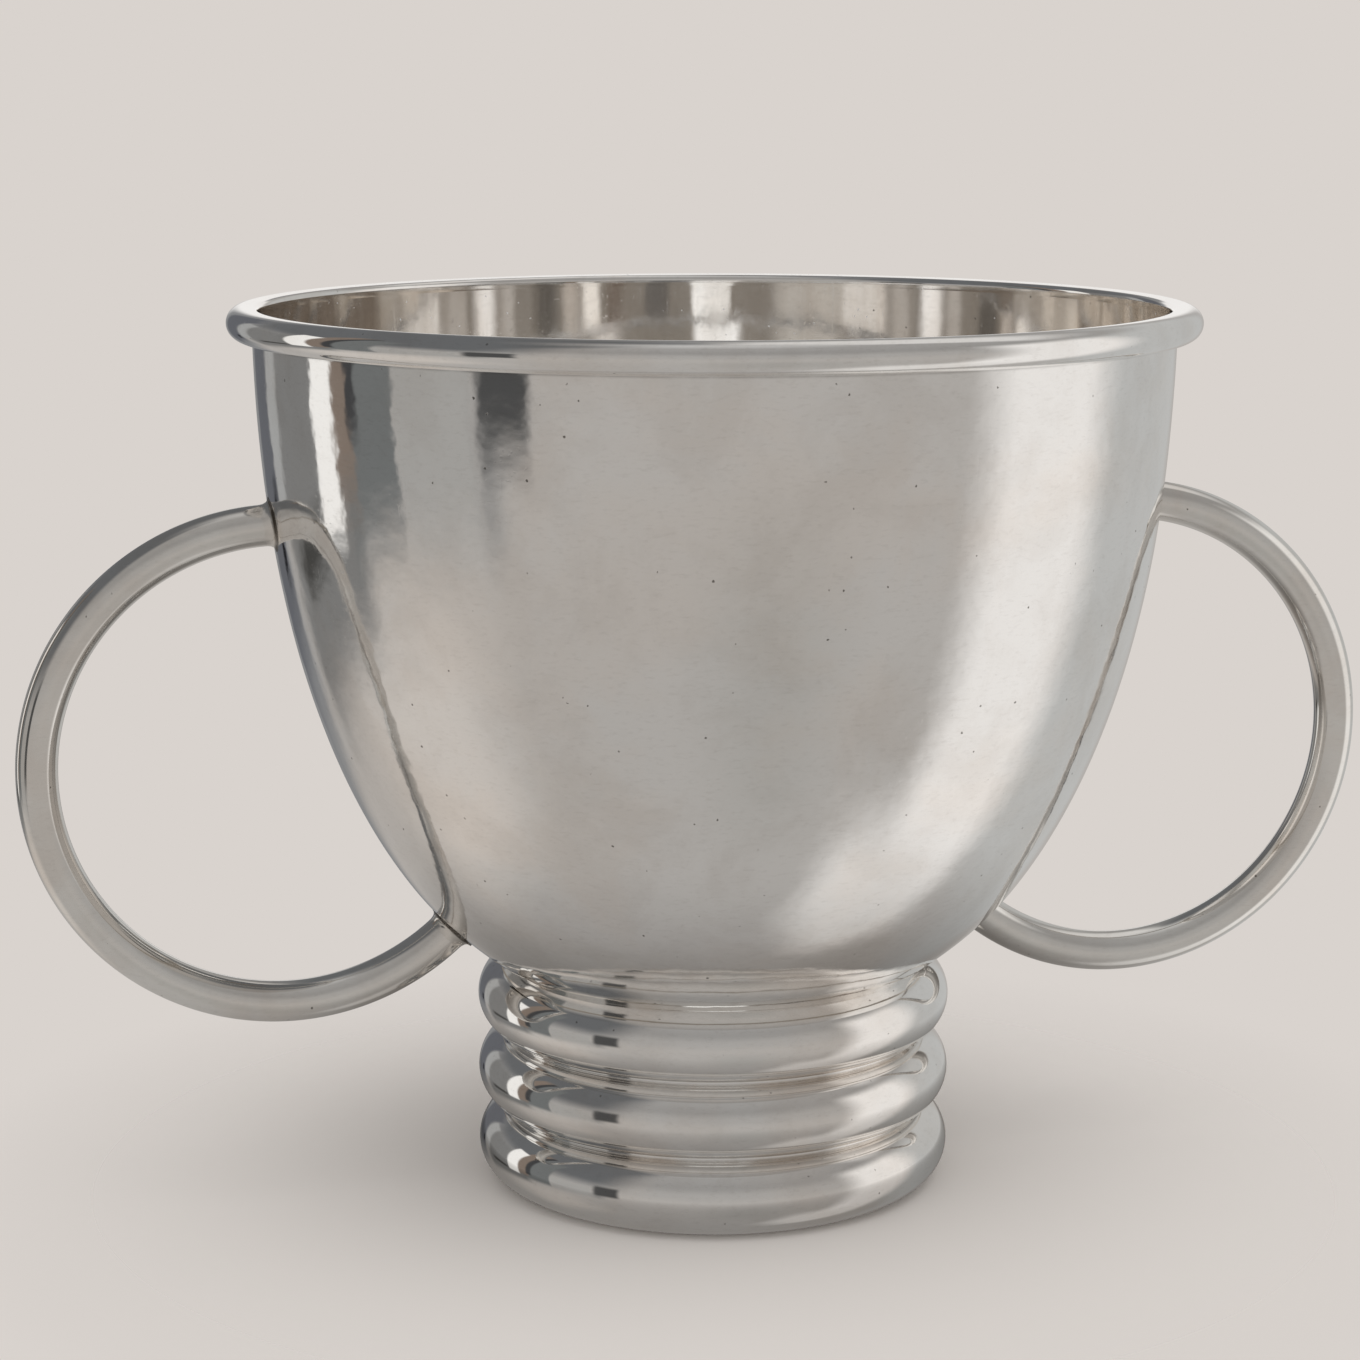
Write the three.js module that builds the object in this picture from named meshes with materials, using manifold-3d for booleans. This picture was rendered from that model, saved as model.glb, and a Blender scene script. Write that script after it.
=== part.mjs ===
// A silver-plated champagne bucket: a round-bottomed spun bowl with a rolled rim bead, two hoop handles
// of round tube soldered to its sides, and a ribbed foot of three stacked rings on a sleeve. Millimetres,
// +Z up. The origin is the middle of the foot, on the surface that it stands on, and the handles lie
// along X.

import * as THREE from 'three';
import { mergeVertices } from 'three/addons/utils/BufferGeometryUtils.js';
import Module from 'manifold-3d';

// ---- driving dimensions -------------------------------------------------------------------------

const ROUND_SEGMENTS = 48; // facets round every turned piece, so that neighbours keep an even gap
const JOINT_GAP = 0.3; // solder gap between pieces that touch
const SHEET = 1.2; // spun sheet thickness

// The bowl's outside is a superellipse turned about Z. It is cut off at the lip, a little below its
// widest circle, and its round bottom hangs down inside the foot.
const BOWL_RADIUS = 106.8;
const BOWL_WIDEST_HEIGHT = 218.0;
const BOWL_DEPTH = 179.5;
const BOWL_POWER = 2.35;
const BOWL_STEPS = 16;

const RIM_RADIUS = 112.5; // outside of the rim bead, the bucket's stated size
const RIM_INNER_RADIUS = 105.2;
const RIM_TOP = 209.3;
const RIM_BOTTOM = 202.0;
const RIM_CROWN_FALL = 0.3; // the crown slopes down this much towards the mouth
const RIM_EDGE = 1.1; // rounding of its inner top edge
const RIM_SHEET = 0.9;
const RIM_STEPS = 8;
const LIP_TOP = 206.4; // the bowl's lip stands up inside the bead

const FOOT_RING_COUNT = 3;
const FOOT_RING_RADIUS = 47.5; // circle through the middle of each ring's section
const FOOT_RING_SECTION = 8.87; // radius of a ring's round section
const FOOT_RING_SHEET = 1.0;
const FOOT_RING_STEPS = 8;
const FOOT_SLEEVE_OVERLAP = 2.2; // how far the sleeve stands into the open inner sides of the rings
const FOOT_SLEEVE_RADIUS = FOOT_RING_RADIUS - FOOT_RING_SECTION + FOOT_SLEEVE_OVERLAP;
const FOOT_SLEEVE_GAP = 0.45; // below the bowl, which is faceted
const FOOT_PLATE_INNER_RADIUS = 34.0;
const FOOT_PLATE_THICKNESS = 1.2;

const HANDLE_CENTRE_X = 101.9;
const HANDLE_CENTRE_Z = 104.4;
const HANDLE_RADIUS = 56.35; // centre line of the tube
const HANDLE_TUBE_RADIUS = 4.8;
const HANDLE_TUBE_WALL = 1.2;
const HANDLE_OVERRUN = 0.2; // radians that the tube is swept past its joints, to be cut off at the bowl
const HANDLE_SIDES = 12;
const HANDLE_STEPS = 28;

const FILLET_EDGE = 0.35; // thickness of a solder collar at its far edge on the tube
const FILLET_FLARE = 1.9; // how much farther it stands out at the bowl
const FILLET_TOP = 3.2; // its far edge, measured along the tube from the joint
const FILLET_BASE = -1.0; // the widest part of its flare, measured the same way
const FILLET_SUNK = 6.0; // how far it runs on into the bowl's wall, to be cut off there
const FILLET_STEPS = 3;
const FILLET_SEGMENTS = 16;

// ---- materials ----------------------------------------------------------------------------------

function silver(roughness) {
  return new THREE.MeshStandardMaterial({ color: 0xc9c5bf, roughness, metalness: 1.0 });
}

const polished = silver(0.1);
const solder = silver(0.25);
const brass = new THREE.MeshStandardMaterial({ color: 0xb59a5b, roughness: 0.45, metalness: 1.0 });

// ---- solids -------------------------------------------------------------------------------------

const wasm = await Module();
wasm.setup();

function toManifold(geometry) {
  const bare = geometry.clone();
  bare.deleteAttribute('normal');
  bare.deleteAttribute('uv');
  const merged = mergeVertices(bare, 1e-4);
  return new wasm.Manifold(new wasm.Mesh({
    numProp: 3,
    vertProperties: new Float32Array(merged.attributes.position.array),
    triVerts: new Uint32Array(merged.index.array),
  }));
}

function toGeometry(manifold) {
  const mesh = manifold.getMesh();
  const geometry = new THREE.BufferGeometry();
  geometry.setAttribute('position', new THREE.BufferAttribute(new Float32Array(mesh.vertProperties), 3));
  geometry.setIndex(new THREE.BufferAttribute(new Uint32Array(mesh.triVerts), 1));
  geometry.computeVertexNormals();
  return geometry;
}

// A solid of revolution about Z from [radius, height] points, listed anticlockwise in the radius-height
// plane.
function turned(outline, closed, segments = ROUND_SEGMENTS) {
  const points = outline.map(([radius, height]) => new THREE.Vector2(radius, height));
  if (closed) {
    points.push(points[0].clone());
  }
  return new THREE.LatheGeometry(points, segments).rotateX(Math.PI / 2);
}

function named(name, geometry, material) {
  const mesh = new THREE.Mesh(geometry, material);
  mesh.name = name;
  return mesh;
}

// ---- bowl ---------------------------------------------------------------------------------------

// Height of the bowl's outside at a radius, and its radius at a height.
function bowlHeight(radius) {
  return BOWL_WIDEST_HEIGHT - BOWL_DEPTH * (1 - (radius / BOWL_RADIUS) ** BOWL_POWER) ** (1 / BOWL_POWER);
}

function bowlRadius(height) {
  const down = Math.max((BOWL_WIDEST_HEIGHT - height) / BOWL_DEPTH, 0);
  return BOWL_RADIUS * (1 - down ** BOWL_POWER) ** (1 / BOWL_POWER);
}

// The bowl's outside from the axis up to a height, moved outwards (inwards, if negative) along its own
// normal.
function bowlCurve(offset, top) {
  const endAngle = Math.acos(((BOWL_WIDEST_HEIGHT - top) / BOWL_DEPTH) ** (BOWL_POWER / 2));
  const curve = [];
  for (let i = 0; i <= BOWL_STEPS; i += 1) {
    const angle = (i / BOWL_STEPS) * endAngle;
    const across = Math.sin(angle) ** (2 / BOWL_POWER);
    const down = Math.cos(angle) ** (2 / BOWL_POWER);
    const normalAcross = across ** (BOWL_POWER - 1) / BOWL_RADIUS;
    const normalDown = down ** (BOWL_POWER - 1) / BOWL_DEPTH;
    const scale = offset / Math.hypot(normalAcross, normalDown);
    curve.push([
      across * BOWL_RADIUS + normalAcross * scale,
      BOWL_WIDEST_HEIGHT - down * BOWL_DEPTH - normalDown * scale,
    ]);
  }
  curve[0][0] = 0;
  curve[BOWL_STEPS][1] = top;
  return curve;
}

function bowlShell() {
  const outside = bowlCurve(0, LIP_TOP);
  const inside = bowlCurve(-SHEET, LIP_TOP).reverse();
  return turned([...outside, ...inside], false);
}

// Everything inside the bowl's outside, with the joint gap round it, for cutting the pieces soldered to
// it.
function bowlEnvelope() {
  return turned([...bowlCurve(JOINT_GAP, LIP_TOP), [0, LIP_TOP]], false);
}

// ---- rim bead -----------------------------------------------------------------------------------

// A hollow moulding, rounded outside, that comes down on both sides of the bowl's lip and is open
// underneath where the lip stands up into it.
function rimOutline(inset) {
  const middle = (RIM_TOP + RIM_BOTTOM) / 2;
  const half = (RIM_TOP - RIM_BOTTOM) / 2;
  const outline = [];
  for (let i = 0; i <= RIM_STEPS; i += 1) {
    const angle = (i / RIM_STEPS - 0.5) * Math.PI;
    outline.push([
      RIM_RADIUS - half + (half - inset) * Math.cos(angle),
      middle + (half - inset) * Math.sin(angle),
    ]);
  }
  return outline;
}

function rimBead() {
  const lipOutside = bowlRadius(RIM_BOTTOM) + JOINT_GAP;
  const lipClearance = LIP_TOP + JOINT_GAP;
  const outside = [
    [lipOutside, RIM_BOTTOM],
    ...rimOutline(0),
    [RIM_INNER_RADIUS + RIM_EDGE, RIM_TOP - RIM_CROWN_FALL],
    [RIM_INNER_RADIUS, RIM_TOP - RIM_EDGE],
    [RIM_INNER_RADIUS, lipClearance],
  ];
  const inside = [
    [lipOutside, lipClearance],
    ...rimOutline(RIM_SHEET).reverse(),
    [lipOutside, RIM_BOTTOM + RIM_SHEET],
  ];
  return turned([...outside, ...inside], true);
}

// ---- foot ---------------------------------------------------------------------------------------

function ringHeight(index) {
  return FOOT_RING_SECTION + index * 2 * FOOT_RING_SECTION;
}

// One rib of the foot: a hollow ring of round section, open on its inner side where it meets the sleeve.
// The top rib is cut away where the bowl sits into it.
function footRing(index, envelope) {
  const height = ringHeight(index);
  const outer = FOOT_RING_SECTION - JOINT_GAP / 2;
  const inner = outer - FOOT_RING_SHEET;
  const seat = FOOT_SLEEVE_RADIUS + JOINT_GAP - FOOT_RING_RADIUS;
  const outline = [];
  for (const [radius, direction] of [[outer, 1], [inner, -1]]) {
    const opening = Math.acos(seat / radius);
    for (let i = 0; i <= FOOT_RING_STEPS; i += 1) {
      const angle = direction * opening * ((2 * i) / FOOT_RING_STEPS - 1);
      outline.push([FOOT_RING_RADIUS + radius * Math.cos(angle), height + radius * Math.sin(angle)]);
    }
  }
  const ring = turned(outline, true);
  if (index < FOOT_RING_COUNT - 1) {
    return ring;
  }
  return toGeometry(toManifold(ring).subtract(envelope));
}

function footSleeve() {
  const bottom = FOOT_PLATE_THICKNESS + JOINT_GAP;
  const inner = FOOT_SLEEVE_RADIUS - SHEET;
  const outline = [
    [inner, bottom],
    [FOOT_SLEEVE_RADIUS, bottom],
    [FOOT_SLEEVE_RADIUS, bowlHeight(FOOT_SLEEVE_RADIUS) - FOOT_SLEEVE_GAP],
    [inner, bowlHeight(inner) - FOOT_SLEEVE_GAP],
  ];
  return turned(outline, true);
}

// The flat wear ring that the bucket rests on, let into the underside of the lowest rib.
function footPlate() {
  const clearance = FOOT_RING_SECTION + JOINT_GAP / 2;
  const drop = FOOT_RING_SECTION - FOOT_PLATE_THICKNESS;
  const outer = FOOT_RING_RADIUS - Math.sqrt(clearance ** 2 - drop ** 2);
  const outline = [
    [FOOT_PLATE_INNER_RADIUS, 0],
    [outer, 0],
    [outer, FOOT_PLATE_THICKNESS],
    [FOOT_PLATE_INNER_RADIUS, FOOT_PLATE_THICKNESS],
  ];
  return turned(outline, true);
}

// ---- handles ------------------------------------------------------------------------------------

// A point on the tube's centre line, a circle standing in the XZ plane. The angle is measured from its
// outermost point, upwards; side is +1 for the right handle and -1 for the left one.
function hoopPoint(side, angle) {
  return new THREE.Vector3(
    side * (HANDLE_CENTRE_X + HANDLE_RADIUS * Math.cos(angle)),
    0,
    HANDLE_CENTRE_Z + HANDLE_RADIUS * Math.sin(angle),
  );
}

// The part of that circle that stands clear of the bowl, with an equal overrun at both ends.
class HoopArc extends THREE.Curve {
  constructor(side, halfAngle) {
    super();
    this.side = side;
    this.halfAngle = halfAngle;
  }

  getPoint(share, target = new THREE.Vector3()) {
    return target.copy(hoopPoint(this.side, (2 * share - 1) * this.halfAngle));
  }
}

function circleShape(radius, sides) {
  const shape = [];
  for (let i = 0; i < sides; i += 1) {
    const angle = (i / sides) * 2 * Math.PI;
    shape.push(new THREE.Vector2(radius * Math.cos(angle), radius * Math.sin(angle)));
  }
  return shape;
}

// The angle at which the centre line meets the bowl: end is +1 for the upper joint and -1 for the lower
// one.
function jointAngle(end) {
  let low = 0;
  let high = Math.PI;
  for (let i = 0; i < 40; i += 1) {
    const angle = (low + high) / 2;
    const point = hoopPoint(1, end * angle);
    if (point.x > bowlRadius(point.z)) {
      low = angle;
    } else {
      high = angle;
    }
  }
  return end * low;
}

function handle(side, envelope) {
  const section = new THREE.Shape(circleShape(HANDLE_TUBE_RADIUS, HANDLE_SIDES));
  const bore = circleShape(HANDLE_TUBE_RADIUS - HANDLE_TUBE_WALL, HANDLE_SIDES).reverse();
  section.holes.push(new THREE.Path(bore));
  const halfAngle = Math.max(jointAngle(1), -jointAngle(-1)) + HANDLE_OVERRUN;
  const extrudePath = new HoopArc(side, halfAngle);
  const tube = new THREE.ExtrudeGeometry(section, { steps: HANDLE_STEPS, extrudePath, bevelEnabled: false });
  return toGeometry(toManifold(tube).subtract(envelope));
}

// The solder collar round one end of a handle: a flared ring that hugs the tube and is cut to the bowl's
// wall.
function solderCollar(side, end, envelope) {
  const angle = jointAngle(end);
  const inner = HANDLE_TUBE_RADIUS + JOINT_GAP;
  const outer = inner + FILLET_EDGE;
  const outline = [[inner, FILLET_TOP], [inner, -FILLET_SUNK], [outer + FILLET_FLARE, -FILLET_SUNK]];
  for (let i = 0; i <= FILLET_STEPS; i += 1) {
    const share = i / FILLET_STEPS;
    const height = FILLET_BASE + (FILLET_TOP - FILLET_BASE) * share;
    outline.push([outer + FILLET_FLARE * (1 - share) ** 2, height]);
  }
  const collar = turned(outline, true, FILLET_SEGMENTS);
  const alongTube = new THREE.Vector3(side * end * Math.sin(angle), 0, -end * Math.cos(angle));
  const point = hoopPoint(side, angle);
  const up = new THREE.Vector3(0, 0, 1);
  collar.applyQuaternion(new THREE.Quaternion().setFromUnitVectors(up, alongTube));
  collar.translate(point.x, point.y, point.z);
  return toGeometry(toManifold(collar).subtract(envelope));
}

// ---- assembly -----------------------------------------------------------------------------------

const envelope = toManifold(bowlEnvelope());
const bucket = new THREE.Group();

bucket.add(named('bowl_shell', bowlShell(), polished));
bucket.add(named('rim_bead', rimBead(), polished));

const ringNames = ['foot_ring_lower', 'foot_ring_middle', 'foot_ring_upper'];
ringNames.forEach((name, index) => bucket.add(named(name, footRing(index, envelope), polished)));
bucket.add(named('foot_sleeve', footSleeve(), brass));
bucket.add(named('foot_plate', footPlate(), polished));

for (const [sideName, side] of [['left', -1], ['right', 1]]) {
  bucket.add(named(`handle_${sideName}`, handle(side, envelope), polished));
  for (const [endName, end] of [['upper', 1], ['lower', -1]]) {
    const collar = solderCollar(side, end, envelope);
    bucket.add(named(`solder_collar_${sideName}_${endName}`, collar, solder));
  }
}

export default bucket;
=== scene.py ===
"""Looks of the silver champagne bucket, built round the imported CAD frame.

Metres, +Z up, handles along X.
"""

import math

import bpy
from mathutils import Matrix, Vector, noise


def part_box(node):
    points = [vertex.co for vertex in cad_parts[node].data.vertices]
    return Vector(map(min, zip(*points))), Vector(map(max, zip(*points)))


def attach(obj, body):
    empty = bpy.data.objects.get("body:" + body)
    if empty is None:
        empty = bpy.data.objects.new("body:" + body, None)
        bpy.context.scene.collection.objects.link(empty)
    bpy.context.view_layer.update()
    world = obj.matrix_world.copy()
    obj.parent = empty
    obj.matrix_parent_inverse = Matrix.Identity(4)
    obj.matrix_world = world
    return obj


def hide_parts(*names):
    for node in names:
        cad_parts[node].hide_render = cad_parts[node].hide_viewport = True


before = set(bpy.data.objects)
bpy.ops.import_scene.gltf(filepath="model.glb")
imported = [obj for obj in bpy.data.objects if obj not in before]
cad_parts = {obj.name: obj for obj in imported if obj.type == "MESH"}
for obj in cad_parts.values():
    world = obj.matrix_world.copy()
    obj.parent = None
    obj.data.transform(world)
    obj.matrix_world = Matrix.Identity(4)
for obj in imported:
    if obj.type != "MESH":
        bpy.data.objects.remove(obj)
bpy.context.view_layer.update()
MM = 0.001
SHRINK = 0.9999  # keeps rounding inside the frame's box

# ---- sizes, from the frame where it gives them -------------------------------------------------

SEGMENTS = 256  # round every turned piece
SHEET = 1.2 * MM
JOINT_GAP = 0.3 * MM  # the CAD's solder gap between pieces that touch

bowl_low, bowl_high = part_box("bowl_shell")
rim_low, rim_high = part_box("rim_bead")
_, lower_rib_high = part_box("foot_ring_lower")
upper_rib_low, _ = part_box("foot_ring_upper")
sleeve_low, sleeve_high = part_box("foot_sleeve")
_, plate_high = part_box("foot_plate")
hoop_low, hoop_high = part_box("handle_right")

# The bowl's outside is a superellipse turned about Z.
BOWL_RADIUS = 106.8 * MM
BOWL_POWER = 2.35
BOWL_WIDEST_HEIGHT = 218.0 * MM
BOWL_DEPTH = BOWL_WIDEST_HEIGHT - bowl_low.z
LIP_TOP = bowl_high.z

RIM_RADIUS = rim_high.x
RIM_INNER_RADIUS = 105.2 * MM
RIM_HALF_HEIGHT = (rim_high.z - rim_low.z) / 2
RIM_MIDDLE = (rim_high.z + rim_low.z) / 2

RIBS = 3
RIB_SECTION = (upper_rib_low.z + JOINT_GAP / 2) / (2 * (RIBS - 1))
RIB_RADIUS = lower_rib_high.x + JOINT_GAP / 2 - RIB_SECTION

HOOP_SECTION = hoop_high.y
HOOP_RADIUS = (hoop_high.z - hoop_low.z) / 2 - HOOP_SECTION
HOOP_CENTRE_X = hoop_high.x - HOOP_RADIUS - HOOP_SECTION
HOOP_CENTRE_Z = (hoop_high.z + hoop_low.z) / 2


def bowl_radius(height):
    """Outside radius of the bowl at a height."""
    down = max((BOWL_WIDEST_HEIGHT - height) / BOWL_DEPTH, 0.0)
    return BOWL_RADIUS * max(1 - down**BOWL_POWER, 0.0) ** (1 / BOWL_POWER)


def bowl_height(radius):
    """Height of the bowl's outside at a radius."""
    across = min(radius / BOWL_RADIUS, 1.0)
    return BOWL_WIDEST_HEIGHT - BOWL_DEPTH * (1 - across**BOWL_POWER) ** (1 / BOWL_POWER)


FLAT_LIFT = 1.0 * MM
FLAT_EDGE = 74 * MM  # radius where the flatter bottom begins
FLAT_BLEND = 20 * MM  # and how far inwards it takes to reach its full lift


def flattening(radius):
    """How far the bottom is beaten up from the superellipse."""
    share = min(max((FLAT_EDGE - radius) / FLAT_BLEND, 0.0), 1.0)
    return FLAT_LIFT * share**2 * (3 - 2 * share)


def bottom_height(radius):
    """Height of the beaten bowl's outside at a radius."""
    return bowl_height(radius) + flattening(radius)


def bowl_normal(point):
    """Outward unit normal of the bowl's outside at a point on it."""
    radius = math.hypot(point.x, point.y)
    across = (radius / BOWL_RADIUS) ** (BOWL_POWER - 1) / BOWL_RADIUS
    down = ((BOWL_WIDEST_HEIGHT - point.z) / BOWL_DEPTH) ** (BOWL_POWER - 1) / BOWL_DEPTH
    return Vector((across * point.x / radius, across * point.y / radius, -down)).normalized()


# ---- mesh helpers ------------------------------------------------------------------------------


def add_mesh(name, vertices, faces, sharp_degrees=40):
    """Adds a smooth mesh, with an edge kept sharp where its faces turn by more than sharp_degrees."""
    mesh = bpy.data.meshes.new(name)
    mesh.from_pydata([tuple(v) for v in vertices], [], faces)
    mesh.validate()
    mesh.shade_smooth()
    mesh.set_sharp_from_angle(angle=math.radians(sharp_degrees))
    piece = bpy.data.objects.new(name, mesh)
    bpy.context.scene.collection.objects.link(piece)
    return piece


def turned(name, profile, closed, shape=None, sharp_degrees=40):
    """A solid of revolution from (radius, height) points, listed anticlockwise.

    An open one starts and ends on the axis. shape(point, index) may move each point a little.
    """
    vertices = []
    rings = []
    for index, (radius, height) in enumerate(profile):
        ring = []
        for step in range(SEGMENTS if radius > 0 else 1):
            angle = 2 * math.pi * step / SEGMENTS
            point = Vector((radius * math.cos(angle), radius * math.sin(angle), height))
            ring.append(len(vertices))
            vertices.append(shape(point, index) if shape else point)
        rings.append(ring if radius > 0 else ring * SEGMENTS)
    pairs = list(zip(rings, rings[1:]))
    if closed:
        pairs.append((rings[-1], rings[0]))
    faces = []
    for below, above in pairs:
        for step in range(SEGMENTS):
            after = (step + 1) % SEGMENTS
            corners = [below[step], below[after], above[after], above[step]]
            faces.append(tuple(dict.fromkeys(corners)))
    return add_mesh(name, vertices, faces, sharp_degrees)


def arc(centre_radius, centre_height, size, start, end, steps):
    """Profile points on a circle's arc, angles in degrees from outwards, anticlockwise."""
    points = []
    for step in range(steps + 1):
        angle = math.radians(start + (end - start) * step / steps)
        points.append((centre_radius + size * math.cos(angle), centre_height + size * math.sin(angle)))
    return points


# ---- bowl --------------------------------------------------------------------------------------

BOWL_STEPS = 96


def bowl_curve(offset, top):
    """The bowl's outside from the axis up to a height, moved outwards by offset along its own normal."""
    end = math.acos(((BOWL_WIDEST_HEIGHT - top) / BOWL_DEPTH) ** (BOWL_POWER / 2))
    points = []
    for step in range(BOWL_STEPS + 1):
        angle = end * step / BOWL_STEPS
        across = math.sin(angle) ** (2 / BOWL_POWER)
        down = math.cos(angle) ** (2 / BOWL_POWER)
        normal_across = across ** (BOWL_POWER - 1) / BOWL_RADIUS
        normal_down = down ** (BOWL_POWER - 1) / BOWL_DEPTH
        scale = offset / math.hypot(normal_across, normal_down)
        points.append(
            (
                across * BOWL_RADIUS + normal_across * scale,
                BOWL_WIDEST_HEIGHT - down * BOWL_DEPTH - normal_down * scale,
            )
        )
    points[0] = (0.0, points[0][1])
    points[-1] = (points[-1][0], top)
    return points


OUTSIDE_WAVES = (0.06 * MM, 26 * MM, 0.8, Vector((3.1, 7.7, 1.9)))  # depth, size, upright, seed
INSIDE_WAVES = (0.05 * MM, 15 * MM, 0.18, Vector((11.0, 2.3, 5.4)))  # a low upright makes them tall


def bowl_wobble(point, index):
    """Slight unevenness of hand-finished sheet, and a bottom a little flatter than the ellipse."""
    depth, size, upright, seed = OUTSIDE_WAVES if index <= BOWL_STEPS else INSIDE_WAVES
    point = point + Vector((0, 0, flattening(math.hypot(point.x, point.y))))
    place = Vector((point.x, point.y, point.z * upright))
    wave = noise.noise(place / size + seed) + 0.4 * noise.noise(place / (size * 0.45) + seed * 2)
    away = Vector((point.x, point.y, 0)).normalized()
    return point + away * depth * wave


def make_bowl():
    """The bowl's sheet: its outside up to the lip, and its inside back down."""
    outside = bowl_curve(0, LIP_TOP)
    inside = bowl_curve(-SHEET, LIP_TOP)[::-1]
    return turned("bowl", outside + inside, closed=False, shape=bowl_wobble, sharp_degrees=60)


# ---- rim bead ----------------------------------------------------------------------------------


def make_rim():
    """A bead, rounded outside, with a gently falling crown and a short upright face inside the mouth."""
    size = RIM_HALF_HEIGHT * SHRINK
    round_centre = RIM_RADIUS - RIM_HALF_HEIGHT
    wall = bowl_radius(rim_low.z) - 0.4 * MM
    top = rim_high.z
    corner = 1.3 * MM
    fall = 0.25 * MM  # of the crown, towards the mouth
    underside = LIP_TOP - 0.1 * MM
    profile = [(wall, rim_low.z + 0.35 * MM)]
    profile += arc(round_centre, RIM_MIDDLE, size, -92, 90, 40)
    profile += arc(RIM_INNER_RADIUS + corner, top - fall - corner, corner, 84, 180, 12)
    profile += [(RIM_INNER_RADIUS, underside), (wall, underside)]
    return turned("rim", profile, closed=True, sharp_degrees=35)


# ---- foot --------------------------------------------------------------------------------------

RIB_SUNK = 0.3 * MM  # how far the top rib reaches into the bowl's sheet
COLLAR_RADIUS = RIB_RADIUS + 2.0 * MM
COLLAR_EDGE = 1.0 * MM  # from the collar's wall to where it meets the rib
COLLAR_TOP = 0.3 * MM  # how far it stands up between the ribs


def make_rib(name, index):
    """One round rib of the foot. The top one is cut away where the bowl sits in it."""
    middle = RIB_SECTION * (1 + 2 * index)
    profile = []
    for radius, height in arc(RIB_RADIUS, middle, RIB_SECTION, -180, 180, 72)[:-1]:
        profile.append((radius, min(height, bottom_height(radius) + RIB_SUNK)))
    if index < RIBS - 1:
        profile = with_collar(profile, middle)
    return turned(name, profile, closed=True)


def with_collar(profile, middle):
    """Adds a low collar to a rib's crown, which rounds out the groove over it as spinning leaves it."""
    crown = middle + RIB_SECTION
    top = crown + COLLAR_TOP
    reach = COLLAR_RADIUS + COLLAR_EDGE - RIB_RADIUS
    drop = RIB_SECTION - math.sqrt(RIB_SECTION**2 - reach**2)  # of the rib's surface at the collar's edge
    outer = []
    inner = []
    for radius, height in profile:
        if height <= middle or radius >= COLLAR_RADIUS + COLLAR_EDGE:
            outer.append((radius, height))
        elif radius <= RIB_RADIUS:
            inner.append((radius, height))
    collar = [
        (COLLAR_RADIUS + 0.45 * COLLAR_EDGE, crown - drop + 0.02 * MM),
        (COLLAR_RADIUS + 0.12 * COLLAR_EDGE, crown - 0.5 * drop),
        (COLLAR_RADIUS, crown),
        (COLLAR_RADIUS, top),
        (RIB_RADIUS + 1.2 * MM, top),
        (RIB_RADIUS + 1.0 * MM, crown),
    ]
    return outer + collar + inner


def make_sleeve():
    """The short tube inside the ribs, cut to the bowl's round bottom."""
    outer = sleeve_high.x
    inner = outer - SHEET
    foot = sleeve_low.z - JOINT_GAP
    profile = [(inner, foot), (outer, foot), (outer, bottom_height(outer)), (inner, bottom_height(inner))]
    return turned("sleeve", profile, closed=True)


def make_plate():
    """The flat ring under the lowest rib, with its lower edges eased."""
    inner = 34 * MM
    edge = 0.25 * MM
    profile = [
        (inner, edge),
        (inner + edge, 0),
        (plate_high.x - edge, 0),
        (plate_high.x, edge),
        (plate_high.x, plate_high.z),
        (inner, plate_high.z),
    ]
    return turned("plate", profile, closed=True)


# ---- handles -----------------------------------------------------------------------------------

HOOP_SIDES = 48
HOOP_STEPS = 200
HOOP_SUNK = 0.5 * MM  # how far the tube's ends reach into the bowl's sheet


def hoop_point(side, around, along):
    """A point on the tube. around is the angle round its section, and along the angle round the hoop."""
    reach = HOOP_RADIUS + HOOP_SECTION * SHRINK * math.cos(around)
    return Vector(
        (
            side * (HOOP_CENTRE_X + reach * math.cos(along)),
            HOOP_SECTION * SHRINK * math.sin(around),
            HOOP_CENTRE_Z + reach * math.sin(along),
        )
    )


def joint_angle(around, end, sunk):
    """The angle round the hoop where a line along the tube is sunk in the bowl.

    end is 1 for the top joint and -1 for the lower one.
    """
    low, high = 0.3, math.pi - 0.3  # outside and inside the bowl
    for _ in range(40):
        middle = (low + high) / 2
        point = hoop_point(1, around, end * middle)
        if math.hypot(point.x, point.y) > bowl_radius(point.z) - sunk:
            low = middle
        else:
            high = middle
    return end * low


def make_hoop(name, side):
    """A hoop of round tube from one joint to the other. side is -1 for the left and 1 for the right."""
    sections = [2 * math.pi * j / HOOP_SIDES for j in range(HOOP_SIDES)]
    spans = [(joint_angle(a, -1, HOOP_SUNK), joint_angle(a, 1, HOOP_SUNK)) for a in sections]
    vertices = []
    rows = []
    for i in range(HOOP_STEPS + 1):
        share = i / HOOP_STEPS
        rows.append(range(len(vertices), len(vertices) + HOOP_SIDES))
        for around, (start, end) in zip(sections, spans):
            vertices.append(hoop_point(side, around, start + (end - start) * share))
    faces = []
    for row, after in zip(rows, rows[1:]):
        for j in range(HOOP_SIDES):
            k = (j + 1) % HOOP_SIDES
            corners = (row[j], row[k], after[k], after[j])
            faces.append(corners if side < 0 else corners[::-1])
    first, last = tuple(rows[0]), tuple(rows[-1])
    faces.append(first[::-1] if side < 0 else first)
    faces.append(last if side < 0 else last[::-1])
    return add_mesh(name, vertices, faces, sharp_degrees=60)


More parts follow.
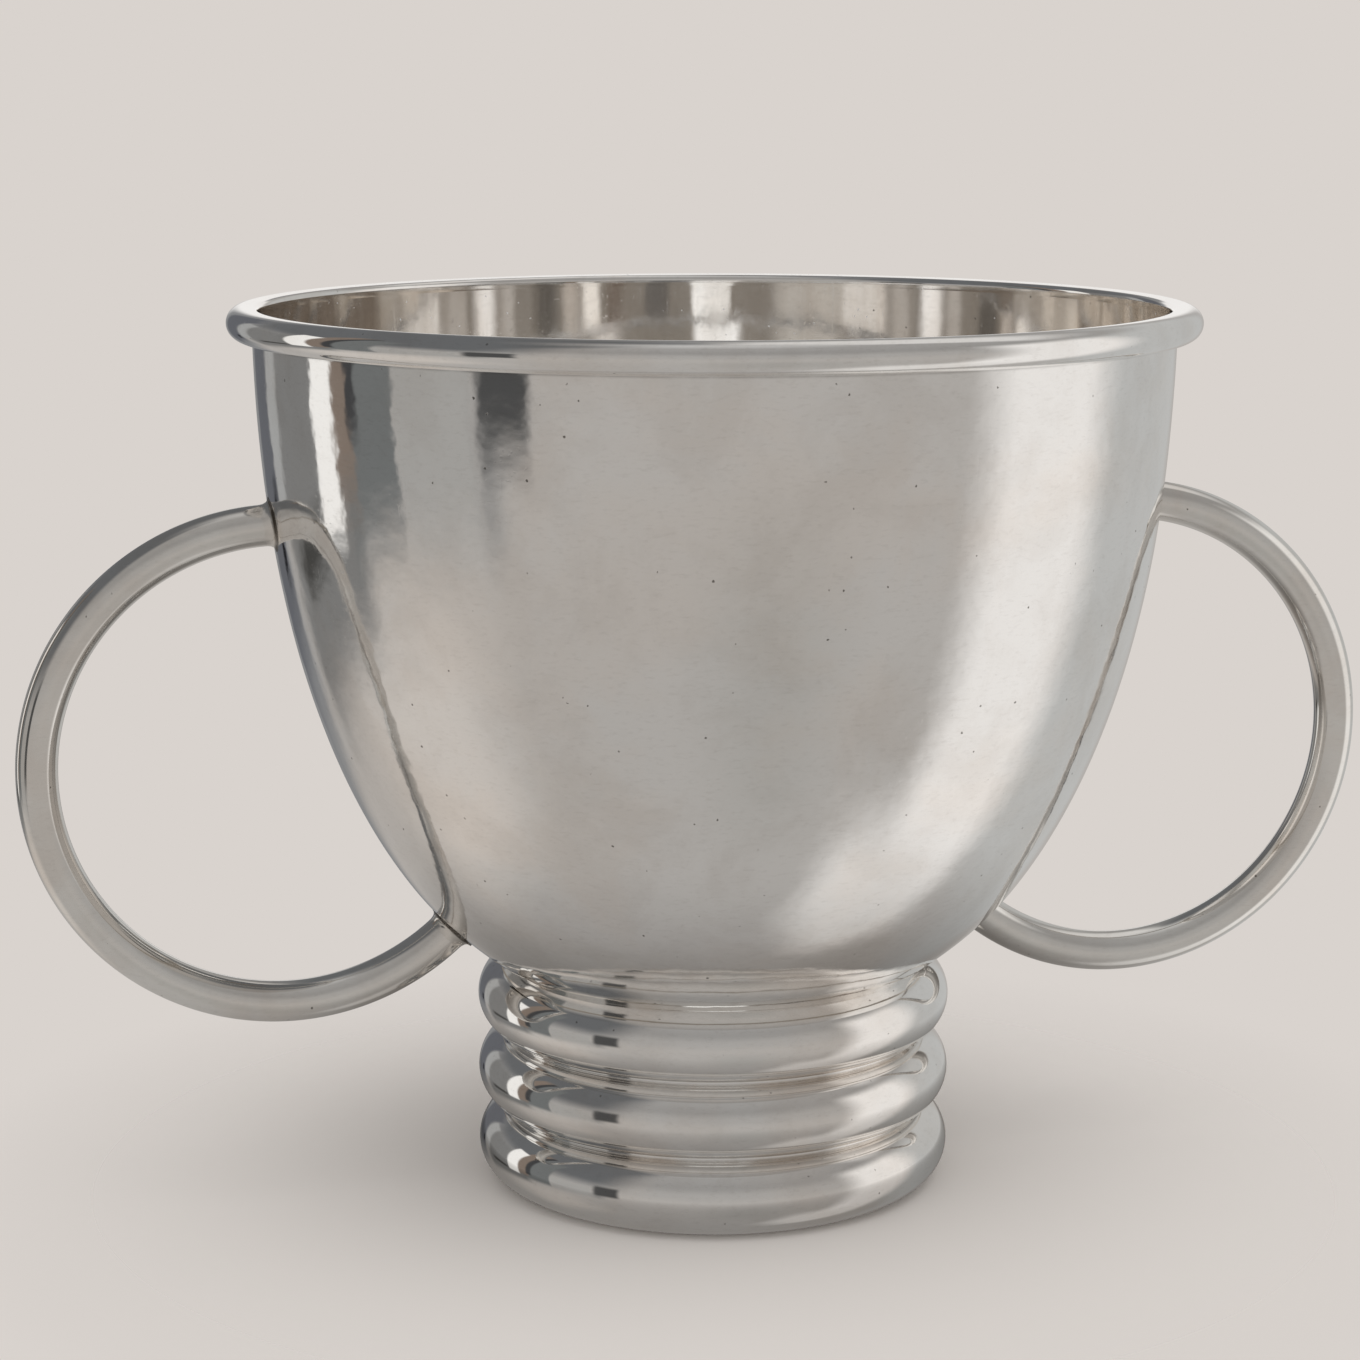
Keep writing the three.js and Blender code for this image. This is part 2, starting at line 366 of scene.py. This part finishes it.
FILLET_STEPS = 8
FILLET_UP_TUBE = 2.5 * MM
FILLET_OUT_BOWL = 1.7 * MM
FILLET_SUNK = 0.35 * MM
FILLET_UNEVEN = 0.22  # share by which its size varies round the tube


def fillet_section(side, end, around, centre):
    """One section of a solder fillet: its concave face from the tube to the bowl, then its sunk back."""
    place = Vector((math.cos(around) * 1.3, math.sin(around) * 1.3, 4.0 * side + end))
    uneven = 1 + FILLET_UNEVEN * noise.noise(place)
    angle = joint_angle(around, end, 0)
    joint = hoop_point(side, around, angle)
    on_tube = hoop_point(side, around, angle - end * FILLET_UP_TUBE * uneven / HOOP_RADIUS)
    normal = bowl_normal(joint)
    outward = joint - centre
    outward = (outward - normal * outward.dot(normal)).normalized()
    on_bowl = joint + outward * FILLET_OUT_BOWL * uneven
    flat = Vector((on_bowl.x, on_bowl.y, 0)).normalized() * bowl_radius(on_bowl.z)
    on_bowl = Vector((flat.x, flat.y, on_bowl.z))
    points = []
    for step in range(FILLET_STEPS + 1):
        t = step / FILLET_STEPS
        points.append(on_tube * (1 - t) ** 2 + joint * 2 * t * (1 - t) + on_bowl * t**2)
    into_bowl = normal * -FILLET_SUNK
    into_tube = (centre - joint).normalized() * FILLET_SUNK
    return points + [on_bowl + into_bowl, joint + into_bowl + into_tube, on_tube + into_tube]


def make_solder(name, side, end):
    """The fillet of solder round one end of a tube, a closed ring with its back sunk in both metals."""
    centre = hoop_point(side, math.pi / 2, joint_angle(math.pi / 2, end, 0))
    centre.y = 0  # the middle of the tube's end
    vertices = []
    rows = []
    for j in range(HOOP_SIDES):
        section = fillet_section(side, end, 2 * math.pi * j / HOOP_SIDES, centre)
        rows.append(range(len(vertices), len(vertices) + len(section)))
        vertices += section
    faces = []
    for row, after in zip(rows, rows[1:] + rows[:1]):
        for step in range(len(row)):
            up = (step + 1) % len(row)
            corners = (row[step], row[up], after[up], after[step])
            faces.append(corners if side * end > 0 else corners[::-1])
    return add_mesh(name, vertices, faces, sharp_degrees=50)


# ---- node helpers ------------------------------------------------------------------------------


class Nodes:
    """A short way of writing a node tree: each call adds a node and returns its output."""

    def __init__(self, tree):
        self.tree = tree
        tree.nodes.clear()

    def add(self, kind, inputs=(), output=0, **settings):
        node = self.tree.nodes.new("ShaderNode" + kind)
        for key, value in settings.items():
            setattr(node, key, value)
        for key, value in dict(inputs).items():
            if isinstance(value, bpy.types.NodeSocket):
                self.tree.links.new(value, node.inputs[key])
            else:
                node.inputs[key].default_value = value
        return node.outputs[output] if node.outputs else None

    def math(self, operation, a, b=0.0, clamp=False):
        return self.add("Math", {0: a, 1: b}, operation=operation, use_clamp=clamp)

    def add_share(self, value, share, part):
        return self.math("ADD", value, self.math("MULTIPLY", part, share))

    def smooth(self, value, start, end, low=0.0, high=1.0):
        inputs = {"Value": value, "From Min": start, "From Max": end, "To Min": low, "To Max": high}
        return self.add("MapRange", inputs, interpolation_type="SMOOTHSTEP")

    def noise(self, vector, scale, detail=2.0, roughness=0.5, distortion=0.0):
        inputs = {
            "Vector": vector,
            "Scale": scale,
            "Detail": detail,
            "Roughness": roughness,
            "Distortion": distortion,
        }
        return self.add("TexNoise", inputs)

    def mix(self, factor, first, second):
        inputs = {"Factor": factor, 6: first, 7: second}
        return self.add("Mix", inputs, output=2, data_type="RGBA")

    def stretched(self, vector, scale, rotation=(0, 0, 0)):
        return self.add("Mapping", {"Vector": vector, "Scale": scale, "Rotation": rotation})


# ---- metals ------------------------------------------------------------------------------------

CLOUD = (0.62, 0.575, 0.53, 1)
GRAIN = (0.45, 0.42, 0.39, 1)
PIT = (0.10, 0.085, 0.07, 1)
# colour of the crevice darkening: painted shade, partly tarnish
TARNISH_AND_SHADE_COLOUR = (0.09, 0.075, 0.06, 1)
DUST = (1.0, 0.99, 0.97, 1)


def metal(name, colour, warm, roughness, ripple, pits, tarnish_and_shade=None, dust=0.0):
    """Polished metal with uneven polish, shallow ripples, fine scratches and a few pits.

    roughness is (lowest, highest); ripple the height of the ripples in mm; pits their darkness; dust
    how white its specks of dust are. The crevice function, if given, takes (nodes, where) and returns
    from 0 to 1 how much a crevice is darkened: painted shade, partly tarnish.
    """
    material = bpy.data.materials.new(name)
    material.use_nodes = True
    nodes = Nodes(material.node_tree)
    where = nodes.add("TexCoord", output="Object")

    hairs = scratches(nodes, where)
    spots = nodes.math("MULTIPLY", specks(nodes, where, 210.0, 0.10, 0.40, 0.95), pits)
    tint = nodes.mix(spots, polished(nodes, where, colour, warm), PIT)
    rough = nodes.smooth(nodes.noise(where, 46.0, 6.0, 0.62), 0.32, 0.72, *roughness)
    rough = nodes.add_share(rough, 0.10, hairs)
    rough = nodes.add_share(rough, 0.25, spots)
    # Darkens crevices with painted shade, partly tarnish, broken up by noise.
    if tarnish_and_shade:
        broken = nodes.smooth(nodes.noise(where, 160.0, 4.0, 0.6), 0.3, 0.6, 0.45, 1.0)
        tarnish_and_shade_amount = nodes.math("MULTIPLY", tarnish_and_shade(nodes, where), broken)
        tint = nodes.mix(tarnish_and_shade_amount, tint, TARNISH_AND_SHADE_COLOUR)
        rough = nodes.add_share(rough, 0.25, tarnish_and_shade_amount)
    metallic = 1.0
    if dust:
        grains = nodes.math("MULTIPLY", specks(nodes, where, 330.0, 0.15, 0.05, 0.90), dust)
        tint = nodes.mix(grains, tint, DUST)
        metallic = nodes.math("SUBTRACT", 1.0, grains)

    height = relief(nodes, where, hairs, spots)
    bump = nodes.add("Bump", {"Strength": 1.0, "Distance": ripple * MM, "Height": height})
    inputs = {"Base Color": tint, "Metallic": metallic, "Roughness": rough, "Normal": bump}
    nodes.add("OutputMaterial", {"Surface": nodes.add("BsdfPrincipled", inputs)})
    return material


def polished(nodes, where, colour, warm):
    """The clean metal's colour: warm patches, with faint clouds and a fine brushed grain over them."""
    patches = nodes.smooth(nodes.noise(where, 24.0, 5.0, 0.60, 0.4), 0.42, 0.66)
    tint = nodes.mix(patches, (*colour, 1), (*warm, 1))
    clouds = nodes.smooth(nodes.noise(where, 48.0, 6.0, 0.65, 0.3), 0.42, 0.64, 0.0, 0.20)
    tint = nodes.mix(clouds, tint, CLOUD)
    brushed = nodes.noise(nodes.stretched(where, (420, 420, 1300)), 1.0, 4.0, 0.7)
    return nodes.mix(nodes.smooth(brushed, 0.50, 0.72, 0.0, 0.13), tint, GRAIN)


def relief(nodes, where, hairs, spots):
    """Height of the surface: soft ripples with a fine grain, cut by the scratches and pits."""
    height = nodes.noise(nodes.stretched(where, (100, 100, 120)), 1.0, 2.5, 0.45)
    height = nodes.add_share(height, 0.01, nodes.noise(where, 520.0, 3.0, 0.55))
    height = nodes.add_share(height, -0.02, hairs)
    return nodes.add_share(height, -0.08, spots)


def scratches(nodes, where):
    """Fine hairlines in three directions, here and there: 1 on a line."""
    directions = (
        ((900, 900, 16), (0.5, 0.2, 0.3)),
        ((20, 1100, 1100), (0.1, 0.9, 0.4)),
        ((1000, 24, 1000), (0.7, 0.1, 1.1)),
    )
    total = nodes.smooth(nodes.noise(nodes.stretched(where, (850, 14, 850)), 1.0, 1.0), 0.70, 0.77)
    for scale, rotation in directions:
        lines = nodes.smooth(nodes.noise(nodes.stretched(where, scale, rotation), 1.0, 1.0), 0.69, 0.76)
        total = nodes.math("ADD", total, lines, clamp=True)
    return nodes.math("MULTIPLY", total, nodes.smooth(nodes.noise(where, 30.0, 2.0), 0.45, 0.65))


def specks(nodes, where, density, size, fewest, most):
    """Scattered tiny spots, in clusters: 1 in a spot.

    There are density cells to a metre, and size is a spot's radius as a part of its cell. fewest and
    most are the share of the cells with a spot, outside the clusters and in them.
    """
    cells = {"Vector": where, "Scale": density, "Randomness": 1.0}
    distance = nodes.add("TexVoronoi", cells, output="Distance")
    chance = nodes.add("SeparateColor", {0: nodes.add("TexVoronoi", cells, output="Color")})
    uneven = nodes.smooth(nodes.noise(where, 1400.0, 2.0), 0.3, 0.7, 0.2, 1.0)
    spot = nodes.smooth(nodes.math("DIVIDE", distance, uneven), size, size / 2)
    thinly = nodes.smooth(nodes.noise(where, 20.0, 1.0), 0.35, 0.65, 1 - fewest, 1 - most)
    return nodes.math("MULTIPLY", spot, nodes.math("GREATER_THAN", chance, thinly))


def around_z(nodes, where):
    """Distance from the bucket's axis, and height."""
    flat = nodes.add("VectorMath", {0: where, 1: (1, 1, 0)}, operation="MULTIPLY")
    across = nodes.add("VectorMath", {0: flat}, output="Value", operation="LENGTH")
    return across, nodes.add("SeparateXYZ", {0: where}, output="Z")


def under_rim(nodes, where):
    """Darkening on the bowl just below the bead: painted shade under it, partly tarnish."""
    _, z = around_z(nodes, where)
    return nodes.smooth(z, rim_low.z - 0.9 * MM, rim_low.z + 0.2 * MM, 0.0, 0.6)


def in_grooves(nodes, where):
    """Traces of darkening between the ribs, here and there: painted shade, partly tarnish."""
    across, _ = around_z(nodes, where)
    patches = nodes.smooth(nodes.noise(where, 28.0, 2.0), 0.50, 0.62, 0.12, 1.0)
    deep = nodes.smooth(across, RIB_RADIUS + 4.0 * MM, RIB_RADIUS + 1.0 * MM, 0.0, 0.06)
    return nodes.math("MULTIPLY", deep, patches)


def at_joint(nodes, where):
    """Darkening in the angle between the solder and the bowl: painted shade, partly tarnish."""
    across, z = around_z(nodes, where)
    down = nodes.math("DIVIDE", nodes.math("SUBTRACT", BOWL_WIDEST_HEIGHT, z), BOWL_DEPTH)
    left = nodes.math("SUBTRACT", 1.0, nodes.math("POWER", down, BOWL_POWER))
    wall = nodes.math("MULTIPLY", nodes.math("POWER", left, 1 / BOWL_POWER), BOWL_RADIUS)
    away = nodes.math("SUBTRACT", across, wall)
    return nodes.smooth(away, 0.75 * MM, 0.15 * MM, 0.0, 1.0)


SILVER = (0.885, 0.878, 0.865)
WARM_SILVER = (0.888, 0.858, 0.826)
HOOP_SILVER = (0.845, 0.838, 0.815)
WARM_HOOP_SILVER = (0.820, 0.785, 0.745)
INNER_SILVER = (0.930, 0.920, 0.908)
WARM_INNER_SILVER = (0.905, 0.880, 0.852)
SOLDER = (0.85, 0.83, 0.80)
WARM_SOLDER = (0.76, 0.72, 0.67)
BRASS = (0.72, 0.60, 0.38)
DARK_BRASS = (0.60, 0.47, 0.27)

# under_rim, in_grooves and at_joint darken crevices: painted shade, partly tarnish
outside_silver = metal("bowl_silver", SILVER, WARM_SILVER, (0.04, 0.09), 0.110, 0.8, under_rim)
bead_silver = metal("rim_silver", SILVER, WARM_SILVER, (0.03, 0.08), 0.006, 0.5)
rib_silver = metal("foot_silver", SILVER, WARM_SILVER, (0.03, 0.07), 0.012, 0.6, in_grooves)
hoop_silver = metal("handle_silver", HOOP_SILVER, WARM_HOOP_SILVER, (0.05, 0.11), 0.016, 0.8)
inside_silver = metal("inner_silver", INNER_SILVER, WARM_INNER_SILVER, (0.02, 0.06), 0.015, 0.9, dust=0.9)
solder_silver = metal("solder_silver", SOLDER, WARM_SOLDER, (0.08, 0.20), 0.05, 0.3, at_joint)
sleeve_brass = metal("sleeve_brass", BRASS, DARK_BRASS, (0.30, 0.48), 0.03, 0.6)

# ---- pieces ------------------------------------------------------------------------------------


def dress(piece, node, material):
    """Gives a piece its material, hangs it on the root body and hides the CAD node it stands for."""
    piece.data.materials.append(material)
    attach(piece, "root")
    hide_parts(node)


bowl = make_bowl()
dress(bowl, "bowl_shell", outside_silver)
bowl.data.materials.append(inside_silver)
for polygon in bowl.data.polygons:
    toward_axis = polygon.center.x * polygon.normal.x + polygon.center.y * polygon.normal.y < 0
    upwards = polygon.normal.z > 0.5
    if toward_axis or upwards:
        polygon.material_index = 1

dress(make_rim(), "rim_bead", bead_silver)
for index, place in enumerate(("lower", "middle", "upper")):
    dress(make_rib(f"rib_{place}", index), f"foot_ring_{place}", rib_silver)
dress(make_sleeve(), "foot_sleeve", sleeve_brass)
dress(make_plate(), "foot_plate", rib_silver)
for side_name, side in (("left", -1), ("right", 1)):
    dress(make_hoop(f"hoop_{side_name}", side), f"handle_{side_name}", hoop_silver)
    for end_name, end in (("upper", 1), ("lower", -1)):
        fillet = make_solder(f"solder_{side_name}_{end_name}", side, end)
        dress(fillet, f"solder_collar_{side_name}_{end_name}", solder_silver)

# ---- camera ------------------------------------------------------------------------------------

SENSOR_WIDTH = 36.0
LENS = 89.45
CAMERA_PLACE = (-0.18548, -0.76536, 0.26443)
CAMERA_DOWN = 0.1812  # radians below level
CAMERA_TURN = -0.2277  # radians round Z, from facing along Y

camera_data = bpy.data.cameras.new("camera")
camera_data.sensor_width = SENSOR_WIDTH
camera_data.lens = LENS
camera = bpy.data.objects.new("camera", camera_data)
camera.location = CAMERA_PLACE
camera.rotation_euler = (math.pi / 2 - CAMERA_DOWN, 0.0, CAMERA_TURN)
bpy.context.scene.collection.objects.link(camera)
bpy.context.scene.camera = camera
CAMERA_AZIMUTH = math.atan2(camera.location.x, -camera.location.y)

# ---- floor -------------------------------------------------------------------------------------

BACKDROP = (0.694, 0.651, 0.617)
PAPER = (0.80, 0.765, 0.735, 1)
FLOOR_HALF = 4.0
FLOOR_FADE = (0.06, 0.20)  # distances over which the paper gives way to the backdrop
SHADE_RADIUS = 0.3
SHADE_BEHIND = 0.04  # how far its middle lies behind the bucket, seen from the camera
SHADE_FADE = (0.035, 0.175)  # distances over which it fades out
SHADE_DARKEST = (0.36, 0.35, 0.34, 1)
WHITE = (1, 1, 1, 1)


def make_floor():
    """A sheet of paper that takes the bucket's shadow and fades into the backdrop."""
    size = FLOOR_HALF
    corners = [(-size, -size, 0), (size, -size, 0), (size, size, 0), (-size, size, 0)]
    floor = add_mesh("floor", corners, [(0, 1, 2, 3)])
    material = bpy.data.materials.new("floor_paper")
    material.use_nodes = True
    nodes = Nodes(material.node_tree)
    where = nodes.add("TexCoord", output="Object")
    distance = nodes.add("VectorMath", {0: where}, output="Value", operation="LENGTH")
    paper = nodes.add("BsdfDiffuse", {"Color": PAPER, "Roughness": 0.6})
    beyond = nodes.add("BsdfTransparent", {"Color": WHITE})
    fade = nodes.smooth(distance, *FLOOR_FADE)
    surface = nodes.add("MixShader", {0: fade, 1: paper, 2: beyond})
    nodes.add("OutputMaterial", {"Surface": surface})
    floor.data.materials.append(material)
    floor.visible_glossy = False


def make_table_shade():
    """The bucket's own soft shade on the table: a disc that only darkens what the metal mirrors."""
    count = 64
    corners = []
    for i in range(count):
        angle = 2 * math.pi * i / count
        corners.append(Vector((math.cos(angle), math.sin(angle), 0)) * SHADE_RADIUS)
    shade = add_mesh("table_shade", corners, [tuple(range(count))])
    away_from_camera = -Vector((camera.location.x, camera.location.y, 0)).normalized()
    shade.location = away_from_camera * SHADE_BEHIND + Vector((0, 0, -0.5 * MM))
    shade.visible_camera = False
    shade.visible_diffuse = False
    shade.visible_shadow = False
    material = bpy.data.materials.new("table_shade")
    material.use_nodes = True
    nodes = Nodes(material.node_tree)
    where = nodes.add("TexCoord", output="Object")
    distance = nodes.add("VectorMath", {0: where}, output="Value", operation="LENGTH")
    colour = nodes.mix(nodes.smooth(distance, *SHADE_FADE), SHADE_DARKEST, WHITE)
    nodes.add("OutputMaterial", {"Surface": nodes.add("BsdfTransparent", {"Color": colour})})
    shade.data.materials.append(material)


make_floor()
make_table_shade()

# ---- studio ------------------------------------------------------------------------------------

# Soft panels that stand round the bucket and are seen only mirrored in the metal. Angles are in
# degrees: azimuth from the camera's side, positive to its right, and elevation. A later panel lies
# over an earlier one.
PANELS = (  # azimuth, half width, elevation, half height, softness sideways and upwards, colour
    (17, 16, -40, 18, 16, 12, (0.405, 0.390, 0.370)),  # darker table in front
    (-96, 26, -37, 14, 18, 9, (0.610, 0.567, 0.527)),  # bright table on the left
    (-113, 65, 43, 31, 14, 14, (0.138, 0.142, 0.148)),  # dim ceiling on the left
    (-165, 20, 0, 21, 5, 4, (0.250, 0.252, 0.256)),  # dim corner behind on the left
    (-121, 20, -4, 18.5, 4, 4, (0.208, 0.206, 0.202)),  # dark wall on the left
    (-126, 8, -14.5, 1.4, 3, 1.3, (0.060, 0.059, 0.056)),  # black shelf on it
    (-142.5, 4, 2, 13.5, 1.5, 1.5, (0.375, 0.376, 0.372)),  # a lighter strip of it
    (-154.5, 7.5, 3, 18, 1.5, 3, (0.128, 0.132, 0.146)),  # slate post
    (-150, 1.3, -10.9, 1.6, 0.8, 0.5, (0.010, 0.010, 0.012)),  # black strip: painted shade, the dark gap by the left handle's upper joint mirrored in the bowl
    (-94.5, 10.2, 8.5, 25.5, 1.0, 4, (0.165, 0.172, 0.172)),  # slate panel beside the window
    (-104, 4.3, 12, 25.5, 1.0, 3, (0.225, 0.180, 0.150)),  # its brown edge
    (-99.3, 1.9, 14, 24.2, 0.9, 1.5, (0.058, 0.058, 0.060)),  # black gap between them
    (-72, 12, -7, 11, 1.2, 5, (0.390, 0.380, 0.365)),  # grey screen
    (-57, 3, -14, 6, 3, 4, (0.320, 0.310, 0.300)),  # foot of the dark stand
    (-52, 6.5, -1, 12, 1.5, 4, (0.075, 0.075, 0.075)),  # dark stand
    (-112.1, 4.7, 4.0, 19.2, 0.9, 1.3, (0.940, 0.920, 0.892)),  # window
    (135, 27, -6, 38, 5, 8, (0.520, 0.520, 0.510)),  # wall on the right
    (91, 19.5, -18, 52, 9, 8, (0.885, 0.858, 0.832)),  # large softbox on the right
    (84, 30, -62, 12, 14, 9, (0.760, 0.735, 0.710)),  # its light on the table
    (140, 36, 60, 16, 9, 9, (0.720, 0.700, 0.680)),  # bright ceiling behind on the right
    (180, 12, 6, 7, 4, 2, (0.900, 0.880, 0.860)),  # pale backdrop
)

SKY = (  # what shows between the panels: elevation, colour
    (-90, (0.440, 0.422, 0.405)),
    (-45, (0.445, 0.425, 0.405)),
    (-12, (0.465, 0.442, 0.420)),
    (12, (0.420, 0.405, 0.390)),
    (36, (0.330, 0.320, 0.310)),
    (62, (0.360, 0.350, 0.340)),
    (90, (0.550, 0.540, 0.530)),
)

# What stands round the table just above its top, seen only in light mirrored twice or more: mostly in
# the bowl. Each ring is seen in light mirrored at least its number of times, over the one before.
HORIZON = 4.5
HORIZON_HALF = 2.5
HORIZON_SOFT = 0.8
FILL = (1.0, 0.985, 0.97, 1)  # the room's soft light on the table
FILL_STRENGTH = 0.77
RINGS = (  # mirrorings, base colour, (azimuth, half width, softness, colour) of each panel
    (
        2,
        (0.255, 0.230, 0.200),
        (
            (178, 13, 3, (1.000, 0.990, 0.970)),
            (130, 17, 6, (0.500, 0.465, 0.420)),
            (-124, 7, 5, (0.700, 0.650, 0.600)),
        ),
    ),
    (
        3,
        (0.275, 0.250, 0.222),
        (
            (-78, 30, 8, (0.570, 0.540, 0.500)),
            (-119, 17, 5, (0.800, 0.765, 0.725)),
            (-148, 8, 5, (0.500, 0.470, 0.435)),
            (-174, 9, 4, (1.020, 1.000, 0.980)),
            (166, 6, 5, (0.540, 0.510, 0.475)),
            (134, 9, 5, (0.150, 0.140, 0.128)),
            (113, 5, 5, (0.560, 0.510, 0.460)),
            (97, 7, 4, (1.020, 0.980, 0.930)),
            (76, 6, 4, (0.200, 0.165, 0.140)),
            (44, 8, 4, (0.175, 0.165, 0.155)),
            (2, 16, 3, (1.150, 1.150, 1.140)),
        ),
    ),
    (
        4,
        (0.225, 0.195, 0.168),
        (
            (-168, 14, 6, (0.480, 0.445, 0.400)),
            (140, 34, 8, (0.720, 0.665, 0.595)),
            (141, 8, 5, (0.500, 0.455, 0.400)),
        ),
    ),
)


def band_mask(nodes, value, middle, half, soft, wrap=False):
    """1 where value is within half of middle, fading out over soft on each side."""
    offset = nodes.math("SUBTRACT", value, middle)
    if wrap:
        offset = nodes.add("Math", {0: offset, 1: 180, 2: -180}, operation="WRAP")
    return nodes.smooth(nodes.math("ABSOLUTE", offset), half + soft, half - soft)


def make_studio():
    """The room: panels for the metal, a plain backdrop for the camera and a soft fill for the table."""
    world = bpy.data.worlds.new("studio")
    bpy.context.scene.world = world
    world.use_nodes = True
    nodes = Nodes(world.node_tree)
    direction = nodes.add("TexCoord", output="Generated")
    inputs = {"Vector": direction, "Angle": -CAMERA_AZIMUTH}
    turned_direction = nodes.add("VectorRotate", inputs, rotation_type="Z_AXIS")
    x = nodes.add("SeparateXYZ", {0: turned_direction}, output="X")
    y = nodes.add("SeparateXYZ", {0: turned_direction}, output="Y")
    z = nodes.add("SeparateXYZ", {0: turned_direction}, output="Z")
    to_degrees = 180 / math.pi
    turn = nodes.math("ARCTAN2", x, nodes.math("MULTIPLY", y, -1.0))
    azimuth = nodes.math("MULTIPLY", turn, to_degrees)
    elevation = nodes.math("MULTIPLY", nodes.math("ARCSINE", z), to_degrees)

    colour = (*SKY[0][1], 1)
    for (lower, _), (upper, shade) in zip(SKY, SKY[1:]):
        colour = nodes.mix(nodes.smooth(elevation, lower, upper), colour, (*shade, 1))
    for middle, half, height, half_height, side_soft, top_soft, shade in PANELS:
        across = band_mask(nodes, azimuth, middle, half, side_soft, wrap=True)
        upright = band_mask(nodes, elevation, height, half_height, top_soft)
        colour = nodes.mix(nodes.math("MULTIPLY", across, upright), colour, (*shade, 1))

    # At the sky the ray depth is one more than the number of times the light was mirrored.
    depth = nodes.add("LightPath", output="Ray Depth")
    at_horizon = band_mask(nodes, elevation, HORIZON, HORIZON_HALF, HORIZON_SOFT)
    for mirrorings, base, panels in RINGS:
        ring = (*base, 1)
        for middle, half, soft, shade in panels:
            ring = nodes.mix(band_mask(nodes, azimuth, middle, half, soft, wrap=True), ring, (*shade, 1))
        deep_enough = nodes.math("GREATER_THAN", depth, mirrorings + 0.5)
        colour = nodes.mix(nodes.math("MULTIPLY", at_horizon, deep_enough), colour, ring)

    reflected = nodes.add("Background", {"Color": colour, "Strength": 1.0})
    backdrop = nodes.add("Background", {"Color": (*BACKDROP, 1), "Strength": 1.0})
    fill = nodes.add("Background", {"Color": FILL, "Strength": FILL_STRENGTH})
    camera_ray = nodes.add("LightPath", output="Is Camera Ray")
    diffuse_ray = nodes.add("LightPath", output="Is Diffuse Ray")
    surface = nodes.add("MixShader", {0: diffuse_ray, 1: reflected, 2: fill})
    surface = nodes.add("MixShader", {0: camera_ray, 1: surface, 2: backdrop})
    nodes.add("OutputWorld", {"Surface": surface})


def add_softbox(name, place, size, power):
    """A soft lamp over the set that lights the floor and isn't mirrored in the metal."""
    data = bpy.data.lights.new(name, "AREA")
    data.shape = "RECTANGLE"
    data.size, data.size_y = size
    data.energy = power
    lamp = bpy.data.objects.new(name, data)
    lamp.location = place
    lamp.rotation_euler = (-Vector(place)).to_track_quat("-Z", "Y").to_euler()
    lamp.visible_glossy = False
    lamp.visible_camera = False
    bpy.context.scene.collection.objects.link(lamp)


make_studio()
add_softbox("top_softbox", place=(0.25, -0.35, 1.5), size=(1.4, 1.4), power=6.0)

scene = bpy.context.scene
scene.view_settings.view_transform = "Standard"
scene.view_settings.look = "None"
scene.cycles.glossy_bounces = 20
scene.cycles.max_bounces = 24
